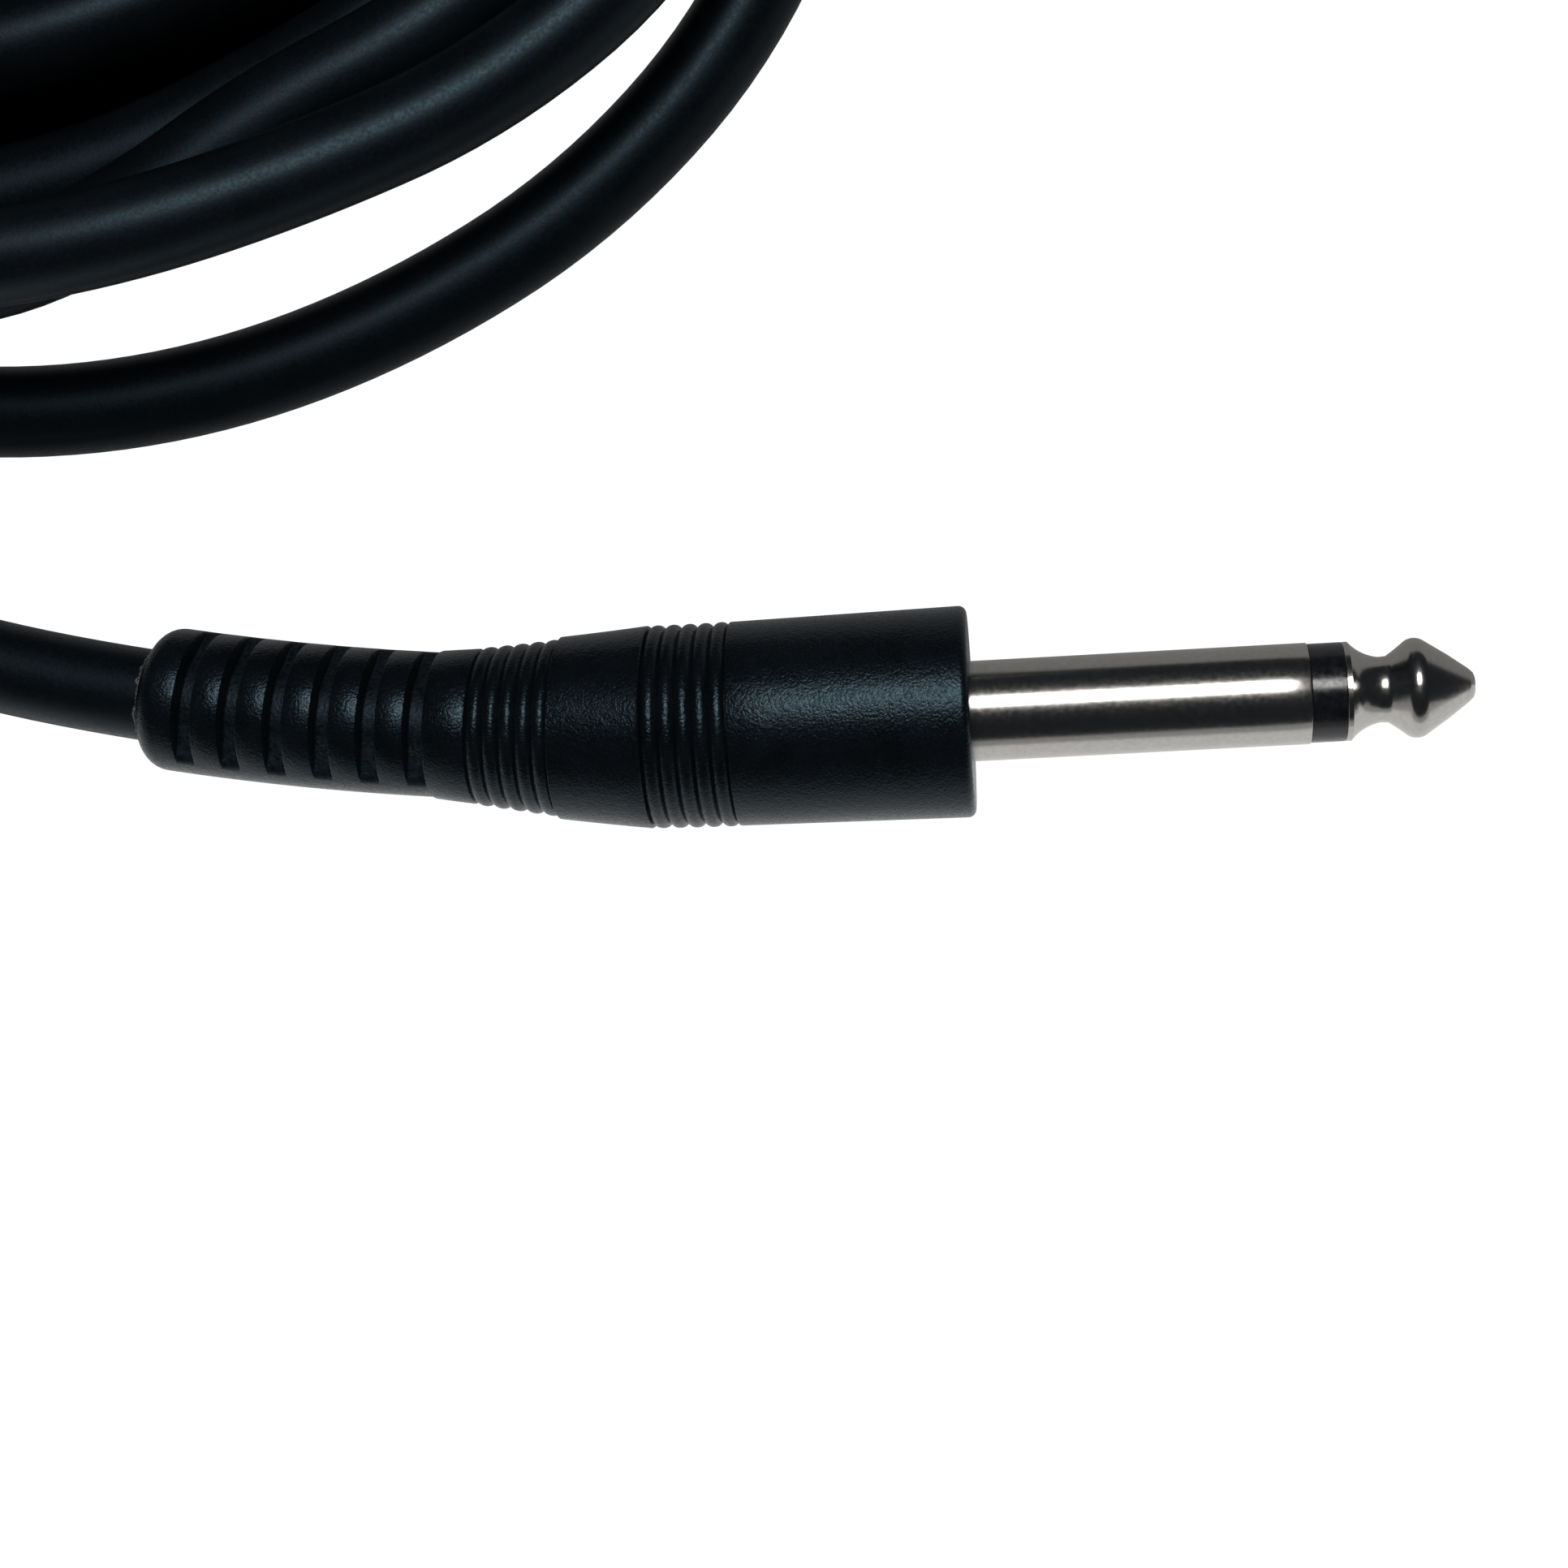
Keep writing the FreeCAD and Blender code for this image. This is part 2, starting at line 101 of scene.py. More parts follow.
class PinSizes(bpy.types.PropertyGroup):
    """Sizes of the jack plug's metal pin."""
    radius: FloatProperty(name="Sleeve radius", description="Half the sleeve's diameter", default=0.003175,
                          unit="LENGTH")
    sleeve_end: FloatProperty(name="Sleeve end", description="Distance from the moulding to the end of the sleeve",
                              default=0.02105, unit="LENGTH")
    ring_end: FloatProperty(name="Insulator end",
                            description="Distance from the moulding to the end of the insulating ring",
                            default=0.0232, unit="LENGTH")
    ring_radius: FloatProperty(name="Insulator radius", description="Half the insulating ring's diameter",
                               default=0.0031, unit="LENGTH")
    length: FloatProperty(name="Pin length", description="Distance from the moulding to the end of the tip",
                          default=0.0313, unit="LENGTH")
    ball_radius: FloatProperty(name="Ball radius", description="Half the diameter of the tip at its widest",
                               default=0.00312, unit="LENGTH")
    neck_radius: FloatProperty(name="Neck radius", description="Half the diameter of the tip's groove",
                               default=0.00205, unit="LENGTH")
    sides: IntProperty(name="Steps round", description="Steps of each turned piece round its axis", default=96,
                       min=24)


class MouldingSizes(bpy.types.PropertyGroup):
    """Sizes of the black moulding round the plug."""
    front_radius: FloatProperty(name="Barrel front radius", description="Half the barrel's diameter at its front",
                                default=0.00668, unit="LENGTH")
    rear_radius: FloatProperty(name="Barrel rear radius", description="Half the barrel's diameter at its rear",
                               default=0.00648, unit="LENGTH")
    boot_radius: FloatProperty(name="Boot radius", description="Half the slotted boot's diameter", default=0.00465,
                               unit="LENGTH")
    core_radius: FloatProperty(name="Boot core radius",
                               description="Half the diameter left at the bottom of the slots", default=0.00327,
                               unit="LENGTH")
    slot_width: FloatProperty(name="Slot width", description="Width of each slot along the boot", default=0.0012,
                              unit="LENGTH")
    rib_depth: FloatProperty(name="Rib depth", description="Depth of the grooves between the grip ribs",
                             default=0.00027, unit="LENGTH")
    sides: IntProperty(name="Steps round", description="Steps of the moulding round its axis", default=120, min=36)


class CableSizes(bpy.types.PropertyGroup):
    """Sizes of the cable and its strap."""
    diameter: FloatProperty(name="Cable diameter", description="Outside diameter of the cable", default=0.006,
                            unit="LENGTH")
    length: FloatProperty(name="Free length", description="Length of the cable between the two boots", default=2.65,
                          unit="LENGTH")
    strap_width: FloatProperty(name="Strap width", description="Width of the strap round the hank", default=0.012,
                               unit="LENGTH")
    strap_thickness: FloatProperty(name="Strap thickness", description="Thickness of the strap", default=0.0009,
                                   unit="LENGTH")


class CableColours(bpy.types.PropertyGroup):
    """Colours of the finishes."""
    moulding: FloatVectorProperty(name="Moulding", description="Colour of the moulded plastic", subtype="COLOR",
                                  default=(0.0045, 0.0060, 0.0080), min=0, max=1)
    jacket: FloatVectorProperty(name="Cable", description="Colour of the cable's jacket", subtype="COLOR",
                                default=(0.0030, 0.0038, 0.0052), min=0, max=1)
    nickel: FloatVectorProperty(name="Nickel", description="Colour of the plated metal", subtype="COLOR",
                                default=(0.50, 0.485, 0.46), min=0, max=1)
    strap: FloatVectorProperty(name="Strap", description="Colour of the strap", subtype="COLOR",
                               default=(0.012, 0.012, 0.014), min=0, max=1)


class StudioSettings(bpy.types.PropertyGroup):
    """Camera and lights."""
    height: FloatProperty(name="Camera height", description="Height of the camera above the floor", default=0.200,
                          unit="LENGTH")
    lens: FloatProperty(name="Lens", description="Focal length on a 36 mm sensor", default=70.24, min=1)
    tilt: FloatProperty(name="Camera tilt", description="Lean of the camera along the pin", subtype="ANGLE",
                        default=math.radians(4.761))
    roll: FloatProperty(name="Camera roll", description="Turn of the camera about its own axis", subtype="ANGLE",
                        default=math.radians(2.931))
    overhead: FloatProperty(name="Overhead light", description="Power of the soft light above the plug, in watts",
                            default=2.1, min=0)
    wall: FloatProperty(name="Wall height", description="Height of the low bounce sheet in front of the plug",
                        default=0.21, unit="LENGTH")
    table: FloatProperty(name="Bounce brightness", description="Brightness of the sheets that the gloss reflects",
                         default=0.8, min=0)


class CableSettings(bpy.types.PropertyGroup):
    """Everything a user may change."""
    pin: PointerProperty(type=PinSizes)
    moulding: PointerProperty(type=MouldingSizes)
    cable: PointerProperty(type=CableSizes)
    colours: PointerProperty(type=CableColours)
    studio: PointerProperty(type=StudioSettings)


def settings():
    return bpy.context.scene.instrument_cable


# Finishes

def finish_tree(name):
    """A new material with its shader, its node tree and a reader of the piece's own coordinates."""
    material = bpy.data.materials.new(name)
    material.use_nodes = True
    tree = material.node_tree
    shader = tree.nodes["Principled BSDF"]
    where = tree.nodes.new("ShaderNodeTexCoord")
    return material, tree, shader, where.outputs["Object"]


def noise_node(tree, where, size, detail=2.0, stretch=(1, 1, 1)):
    """Noise with features about as large as size, in millimetres, stretched along the axes."""
    mapping = tree.nodes.new("ShaderNodeMapping")
    mapping.inputs["Scale"].default_value = [1000.0 / s for s in stretch]
    texture = tree.nodes.new("ShaderNodeTexNoise")
    texture.inputs["Scale"].default_value = 1.0 / size
    texture.inputs["Detail"].default_value = detail
    tree.links.new(where, mapping.inputs["Vector"])
    tree.links.new(mapping.outputs["Vector"], texture.inputs["Vector"])
    return texture.outputs["Fac"]


def spread(tree, value, low, high, from_low=0.3, from_high=0.7):
    """Spreads a noise value over a range."""
    node = tree.nodes.new("ShaderNodeMapRange")
    for name, number in (("From Min", from_low), ("From Max", from_high), ("To Min", low), ("To Max", high)):
        node.inputs[name].default_value = number
    tree.links.new(value, node.inputs["Value"])
    return node.outputs["Result"]


def two_colours(tree, value, dark, light, low=0.35, high=0.65):
    """A colour between two, by a noise value."""
    ramp = tree.nodes.new("ShaderNodeValToRGB")
    ramp.color_ramp.elements[0].position, ramp.color_ramp.elements[1].position = low, high
    ramp.color_ramp.elements[0].color = (*dark, 1)
    ramp.color_ramp.elements[1].color = (*light, 1)
    tree.links.new(value, ramp.inputs["Fac"])
    return ramp.outputs["Color"]


def bump(tree, shader, value, depth, before=None):
    """Relief of the given depth in millimetres from a noise value."""
    node = tree.nodes.new("ShaderNodeBump")
    node.inputs["Strength"].default_value = 1.0
    node.inputs["Distance"].default_value = depth * MM
    tree.links.new(value, node.inputs["Height"])
    if before is not None:
        tree.links.new(before, node.inputs["Normal"])
    tree.links.new(node.outputs["Normal"], shader.inputs["Normal"])
    return node.outputs["Normal"]


def shades(colour, dark, light):
    return [c * dark for c in colour], [c * light for c in colour]


def plastic_shine(shader):
    """Low, cool gloss, as carbon-filled PVC has."""
    shader.inputs["Specular IOR Level"].default_value = 0.27
    shader.inputs["Specular Tint"].default_value = (0.52, 0.80, 1.0, 1)


def moulding_finish():
    """Spark-eroded black plastic: a fine grain that glints, with broad soft shading."""
    material, tree, shader, where = finish_tree("moulded_plastic")
    dark, light = shades(settings().colours.moulding, 0.8, 1.25)
    tree.links.new(two_colours(tree, noise_node(tree, where, 2.5, 3), dark, light), shader.inputs["Base Color"])
    grain = noise_node(tree, where, 0.17, 2.5)
    tree.links.new(spread(tree, grain, 0.18, 0.38), shader.inputs["Roughness"])
    plastic_shine(shader)
    coarse = bump(tree, shader, noise_node(tree, where, 0.5, 2.0), 0.022)
    bump(tree, shader, grain, 0.038, coarse)
    return material


def slot_painted_light_finish():
    """The rougher plastic inside the boot's slots, with painted light: its paler colour stands in for the light the
    slot walls and ends catch.
    """
    material, tree, shader, where = finish_tree("slot_plastic_painted_light")
    # Painted light: the colour runs up to 1.9 times the moulding's so that the slots look lit.
    dark, light = shades(settings().colours.moulding, 0.8, 1.9)
    tree.links.new(two_colours(tree, noise_node(tree, where, 0.3, 3), dark, light), shader.inputs["Base Color"])
    tree.links.new(spread(tree, noise_node(tree, where, 0.3, 3), 0.36, 0.52), shader.inputs["Roughness"])
    plastic_shine(shader)
    bump(tree, shader, noise_node(tree, where, 0.22, 3), 0.05)
    return material


def jacket_finish():
    """The cable's smooth matt jacket, with faint rubs."""
    material, tree, shader, where = finish_tree("cable_jacket_plastic")
    dark, light = shades(settings().colours.jacket, 0.8, 1.3)
    tree.links.new(two_colours(tree, noise_node(tree, where, 4.0, 4), dark, light), shader.inputs["Base Color"])
    tree.links.new(spread(tree, noise_node(tree, where, 0.25, 4), 0.36, 0.50), shader.inputs["Roughness"])
    plastic_shine(shader)
    bump(tree, shader, noise_node(tree, where, 0.2, 3), 0.008)
    return material


def nickel_finish():
    """Bright plating with fine turning lines, small pits and a few rubs."""
    material, tree, shader, where = finish_tree("bright_nickel")
    shader.inputs["Metallic"].default_value = 1.0
    dark, light = shades(settings().colours.nickel, 0.93, 1.02)
    tree.links.new(two_colours(tree, noise_node(tree, where, 0.35, 4), dark, light), shader.inputs["Base Color"])
    tree.links.new(spread(tree, noise_node(tree, where, 0.3, 4), 0.17, 0.23), shader.inputs["Roughness"])
    lines = bump(tree, shader, noise_node(tree, where, 1.0, 3, (0.04, 8, 8)), 0.0008)
    bump(tree, shader, noise_node(tree, where, 0.25, 4), 0.0012, lines)
    return material


def black_ring_finish():
    """The glossy black insulating ring."""
    material, tree, shader, where = finish_tree("black_insulator_plastic")
    colour = two_colours(tree, noise_node(tree, where, 0.6), (0.006, 0.007, 0.009), (0.012, 0.013, 0.016))
    tree.links.new(colour, shader.inputs["Base Color"])
    tree.links.new(spread(tree, noise_node(tree, where, 0.3, 3), 0.16, 0.3), shader.inputs["Roughness"])
    bump(tree, shader, noise_node(tree, where, 0.3, 3), 0.002)
    return material


def flash_finish():
    """Rough pale flash where the moulding met its tool."""
    material, tree, shader, where = finish_tree("rough_flash")
    colour = two_colours(tree, noise_node(tree, where, 0.18, 4), (0.03, 0.032, 0.034), (0.22, 0.23, 0.235), 0.45, 0.65)
    tree.links.new(colour, shader.inputs["Base Color"])
    tree.links.new(spread(tree, noise_node(tree, where, 0.2, 3), 0.55, 0.85), shader.inputs["Roughness"])
    bump(tree, shader, noise_node(tree, where, 0.12, 4), 0.03)
    return material


def strap_finish():
    """Woven nylon tape with a napped face."""
    material, tree, shader, where = finish_tree("woven_strap")
    dark, light = shades(settings().colours.strap, 0.5, 1.8)
    weave = tree.nodes.new("ShaderNodeTexBrick")
    weave.offset = 0.5
    for name, number in (("Scale", 1.0), ("Brick Width", 0.0009), ("Row Height", 0.00045), ("Mortar Size", 0.00007)):
        weave.inputs[name].default_value = number
    weave.inputs["Color1"].default_value = (*light, 1)
    weave.inputs["Color2"].default_value = (*settings().colours.strap, 1)
    weave.inputs["Mortar"].default_value = (*dark, 1)
    face = tree.nodes.new("ShaderNodeUVMap")
    face.uv_map = "strap"
    tree.links.new(face.outputs["UV"], weave.inputs["Vector"])
    tree.links.new(weave.outputs["Color"], shader.inputs["Base Color"])
    shader.inputs["Sheen Weight"].default_value = 0.3
    tree.links.new(spread(tree, noise_node(tree, where, 0.4, 3), 0.7, 0.95), shader.inputs["Roughness"])
    threads = bump(tree, shader, weave.outputs["Fac"], -0.12)
    bump(tree, shader, noise_node(tree, where, 0.12, 4), 0.05, threads)
    return material


def inner_finish(name, colour, roughness, metallic=0.0, grain=0.5):
    """A finish for a piece inside the moulding: slight colour drift, grain and gloss variation."""
    material, tree, shader, where = finish_tree(name)
    shader.inputs["Metallic"].default_value = metallic
    dark, light = shades(colour, 0.8, 1.15)
    tree.links.new(two_colours(tree, noise_node(tree, where, 4 * grain, 4), dark, light), shader.inputs["Base Color"])
    gloss = spread(tree, noise_node(tree, where, grain, 3), roughness - 0.08, roughness + 0.08)
    tree.links.new(gloss, shader.inputs["Roughness"])
    bump(tree, shader, noise_node(tree, where, grain, 3), 0.01)
    return material


# Shapes

def plug_place(plug):
    """Where a plug's own origin, the middle of the moulding's front face, lies in the row."""
    low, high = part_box(f"plug_{plug}_sleeve")
    middle = (low + high) / 2
    return Matrix.Translation(Vector((high.x - settings().pin.sleeve_end, middle.y, middle.z)))


def on_bend(plug, s):
    """The frame at distance s behind the barrel, in millimetres: its X axis points back along the cable."""
    side = CURL[plug]
    toward = Vector((0, side * math.cos(BEND_ROLL), math.sin(BEND_ROLL)))
    axle = Vector((-1, 0, 0)).cross(toward)
    start = Vector((-BARREL_LENGTH, 0, 0))
    pivot = start + toward * BEND_RADIUS
    turn = Matrix.Rotation(max(s, 0) / BEND_RADIUS, 4, axle)
    return Matrix.Translation(pivot) @ turn @ Matrix.Translation(start - pivot) @ Matrix.Rotation(math.pi, 4, "Z")


def turned(outline, sides, closed=True):
    """A piece spun about the X axis from (x, radius) points in millimetres."""
    mesh = bmesh.new()
    row = [mesh.verts.new((x, 0, r)) for x, r in outline]
    edges = [mesh.edges.new(pair) for pair in zip(row, row[1:])]
    if closed:
        edges.append(mesh.edges.new((row[-1], row[0])))
    bmesh.ops.spin(mesh, geom=row + edges, cent=(0, 0, 0), axis=(1, 0, 0), dvec=(0, 0, 0),
                   angle=2 * math.pi, steps=sides, use_merge=True, use_duplicate=False)
    bmesh.ops.remove_doubles(mesh, verts=mesh.verts, dist=0.0001)
    return mesh


def corners(made):
    """The vertices among what an operator made."""
    return [v for v in made if isinstance(v, bmesh.types.BMVert)]


def keep(name, mesh, place, material, nodes, sharp=34):
    """Makes the finished piece in the row, with smooth faces and sharp edges, for the CAD nodes it stands for."""
    bmesh.ops.scale(mesh, vec=(MM, MM, MM), verts=mesh.verts)
    bmesh.ops.transform(mesh, matrix=place, verts=mesh.verts)
    bmesh.ops.recalc_face_normals(mesh, faces=mesh.faces)
    for face in mesh.faces:
        face.smooth = True
    for edge in mesh.edges:
        edge.smooth = edge.calc_face_angle(0) < math.radians(sharp)
    data = bpy.data.meshes.new(name)
    mesh.to_mesh(data)
    mesh.free()
    data.materials.append(material)
    piece = bpy.data.objects.new(name, data)
    bpy.context.scene.collection.objects.link(piece)
    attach(piece, "root")
    if nodes:
        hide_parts(*nodes)
    return piece


def through(a, b, c, steps):
    """Points on the arc from a through b to c."""
    (ax, ay), (bx, by), (cx, cy) = a, b, c
    d = 2 * (ax * (by - cy) + bx * (cy - ay) + cx * (ay - by))
    ux = ((ax**2 + ay**2) * (by - cy) + (bx**2 + by**2) * (cy - ay) + (cx**2 + cy**2) * (ay - by)) / d
    uy = ((ax**2 + ay**2) * (cx - bx) + (bx**2 + by**2) * (ax - cx) + (cx**2 + cy**2) * (bx - ax)) / d
    first, last = math.atan2(ay - uy, ax - ux), math.atan2(cy - uy, cx - ux)
    middle = math.atan2(by - uy, bx - ux)
    turn = math.remainder(last - first, 2 * math.pi)
    if math.remainder(middle - first, 2 * math.pi) * turn < 0:
        turn -= math.copysign(2 * math.pi, turn)
    radius = math.hypot(ax - ux, ay - uy)
    return [(ux + radius * math.cos(first + turn * i / steps), uy + radius * math.sin(first + turn * i / steps))
            for i in range(steps + 1)]


def moulding_outline():
    """The moulding's outside and its inner channel as (distance behind the barrel, radius) points."""
    sizes = settings().moulding
    front, rear, boot = sizes.front_radius / MM, sizes.rear_radius / MM, sizes.boot_radius / MM
    width, depth = sizes.slot_width / MM, sizes.rib_depth / MM
    points = [(-15, 2.9)]
    points += [(-14.5 - 0.5 * math.cos(math.radians(a)), front - 0.5 + 0.5 * math.sin(math.radians(a)))
               for a in (0, 15, 30, 45, 60, 75, 90)]
    points += [(-14.5 + 14.35 * i / 6, front + (rear - front) * i / 6) for i in range(1, 7)]
    points += [(-0.05, rear - 0.03)]

    def ribs(start, first, last):
        for i in range(5):
            for t in (0.0, 0.06, 0.14, 0.26, 0.4, 0.5, 0.6, 0.74, 0.86, 0.94):
                crest = first + (last - first) * (i + t) / 5
                yield start + (i + t) * RIB_PITCH, crest - depth * 1.15 * abs(2 * t - 1) ** 2.6

    points += list(ribs(0, 6.5, 6.45)) + [(5.25, 6.16), (5.31, 6.38), (5.42, 6.44)]
    points += [(5.42 + 5.66 * i / 5, 6.44 + (5.82 - 6.44) * i / 5) for i in range(1, 6)]
    points += [(11.13, 5.76)] + list(ribs(11.15, 5.68, 5.03)) + [(16.4, 4.76), (16.46, 4.92), (16.58, 4.97)]
    points += [(17.8, 4.87), (18.98, 4.76), (19.1, 4.71)]
    for middle in SLOTS:
        a, b = middle - width / 2, middle + width / 2
        points += [(a - 0.1, boot), (a - 0.03, boot), (a, boot), (a + 0.015, boot), (a + 0.1, boot),
                   (middle, boot), (b - 0.1, boot), (b - 0.015, boot), (b, boot), (b + 0.03, boot), (b + 0.1, boot),
                   (b + 0.9, boot)]
    points += [(BOOT_END - 1.6 + 1.6 * math.sin(math.radians(a)), boot - 1.6 + 1.6 * math.cos(math.radians(a)))
               for a in range(0, 91, 10)]
    points += [(BOOT_END, 3.0)] + [(BOOT_END - 3.825 * i, 3.0) for i in range(1, 10)]
    points += [(0, 3.0), (-0.2, 3.0), (-0.2, 5.0), (-12.4, 5.0), (-12.4, 4.6), (-13.8, 4.6), (-13.8, 2.9)]
    return points


def cut_slots(mesh):
    """Sinks the boot's slots to their floors, which leave a spine at each side."""
    sizes = settings().moulding
    boot, core, half = sizes.boot_radius / MM, sizes.core_radius / MM, sizes.slot_width / MM / 2
    floor_half, floor_height, spine = 2.12, 2.49, 1.25
    slope = (floor_height - spine) / (boot - floor_half)
    for vert in mesh.verts:
        s = -BARREL_LENGTH - vert.co.x
        radius = math.hypot(vert.co.y, vert.co.z)
        near = min((abs(s - m), m) for m in SLOTS)
        if abs(radius - boot) > 0.001 or near[0] > half + 0.05:
            continue
        angle = math.atan2(vert.co.z, vert.co.y)
        up, out = abs(math.sin(angle)), abs(math.cos(angle))
        flat = floor_height / max(up, 1e-6)
        bottom = flat if flat * out <= floor_half else (floor_height + slope * floor_half) / (up + slope * out)
        depth = boot - max(core, min(boot, bottom))
        lip = min(1.0, depth / 0.3)
        if near[0] < half - 0.001:
            to = boot - depth + (0.08 * lip if near[0] > half - 0.05 else 0)
        elif near[0] < half + 0.01:
            to = boot - 0.11 * lip
        else:
            to = boot - 0.03 * lip
        vert.co.y *= to / radius
        vert.co.z *= to / radius
        # Slot faces take the second material, whose paler colour is painted light.
        if near[0] < half - 0.001 and depth > 0.05:
            for face in vert.link_faces:
                face.material_index = 1


def bend(mesh, plug):
    """Curls the part behind the barrel round the boot's bend."""
    spin = Matrix.Rotation(CURL[plug] * SLOT_ROLL, 4, "X")
    for vert in mesh.verts:
        s = -BARREL_LENGTH - vert.co.x
        if s > 0:
            vert.co = on_bend(plug, s) @ spin @ Vector((0, -vert.co.y, vert.co.z))


def tip_outline():
    """The tip: collar, cove, neck, ball, cone and blunt nose. The pins step joins its rod on."""
    sizes = settings().pin
    end, neck_r, ball_r = sizes.length / MM, sizes.neck_radius / MM, sizes.ball_radius / MM
    start, ring = sizes.ring_end / MM, sizes.ring_radius / MM
    neck, ball = end - 5.9, end - 3.6
    points = [(start, ring - 0.04), (start + 0.04, ring), (start + 0.35, ring)]
    points += through((start + 0.35, ring), (neck - 0.75, neck_r + 0.22), (neck, neck_r), 10)[1:]
    points += [(neck + 0.25, neck_r + 0.01)]
    points += through((neck + 0.5, neck_r + 0.03), (ball - 1.2, ball_r - 0.62), (ball - 0.62, ball_r - 0.17), 10)
    points += through((ball - 0.62, ball_r - 0.17), (ball, ball_r), (ball + 0.45, ball_r - 0.13), 10)[1:]
    points += [(end - 1.6, 1.96), (end - 0.42, 1.09), (end - 0.25, 0.94), (end - 0.1, 0.79), (end - 0.02, 0.6),
               (end, 0.35), (end, 0.0)]
    return points


def smooth_value(table, bearing):
    """A turn table's radius at a running bearing that falls 360 degrees a turn, eased through the stations."""
    turn, rest = divmod(180 - bearing, 360)
    rows = [(180 - a) for a in STATIONS] + [360]
    i = max(k for k in range(len(STATIONS)) if rows[k] <= rest + 1e-9)
    flat = [r for row in table for r in row]
    knots = [360 * t + a for t in range(len(table)) for a in rows[:-1]]
    flat.append(LAST_RADIUS)
    knots.append(360 * len(table))
    k = min(int(turn) * len(STATIONS) + i, len(flat) - 2)

    def rate(j):
        j0, j1 = max(j - 1, 0), min(j + 1, len(flat) - 1)
        return (flat[j1] - flat[j0]) / (knots[j1] - knots[j0])

    span = knots[k + 1] - knots[k]
    t = (180 - bearing - knots[k]) / span
    return ((2 * t**3 - 3 * t**2 + 1) * flat[k] + (t**3 - 2 * t**2 + t) * span * rate(k)
            + (3 * t**2 - 2 * t**3) * flat[k + 1] + (t**3 - t**2) * span * rate(k + 1))


def hank_points():
    """The hank's turns in millimetres. Each turn rests on the floor or on the turns laid before it."""
    laid, points, rests = {}, [], []
    count = 360 * len(TURNS) // ROUTE_STEP + 1
    radii = [smooth_value(TURNS, 180 - ROUTE_STEP * i) for i in range(count)]
    for i, radius in enumerate(radii):
        bearing = (180 - ROUTE_STEP * i) % 360
        away = abs(math.remainder(bearing - STRAP_BEARING, 360))
        height = CABLE_RADIUS + 1.25 * max(0.0, min(1.0, (40 - away) / 22))
        for k in laid.get(bearing, []):
            gap = abs(radii[k] - radius)
            if gap < REST:
                height = max(height, rests[k] + math.sqrt(REST * REST - gap * gap))
        rests.append(height)
        laid.setdefault(bearing, []).append(i)
        for k in range(i - 1, max(i - 5, 0), -1):
            rests[k] = max(rests[k], (rests[k - 1] + rests[k + 1]) / 2)
    for i, (radius, height) in enumerate(zip(radii, rests)):
        a, far = math.radians(180 - ROUTE_STEP * i), radius * CURVE_PULL
        points.append((COIL_CENTRE[0] + far * math.cos(a), COIL_CENTRE[1] + far * math.sin(a), height))
    return points


def boot_exit(plug):
    """The point where the cable leaves a boot, in metres."""
    return plug_place(plug) @ (on_bend(plug, BOOT_END).translation * MM)


def cable_route():
    """The cable's whole route from boot to boot, in metres."""
    lead_a = [tuple(boot_exit("a"))] + [tuple(c * MM for c in p) for p in LEAD_A]
    hank = [tuple(c * MM for c in p) for p in hank_points()]
    lead_b = [tuple(c * MM for c in p) for p in LEAD_B] + [tuple(boot_exit("b"))]
    return lead_a + hank[1:-1] + lead_b


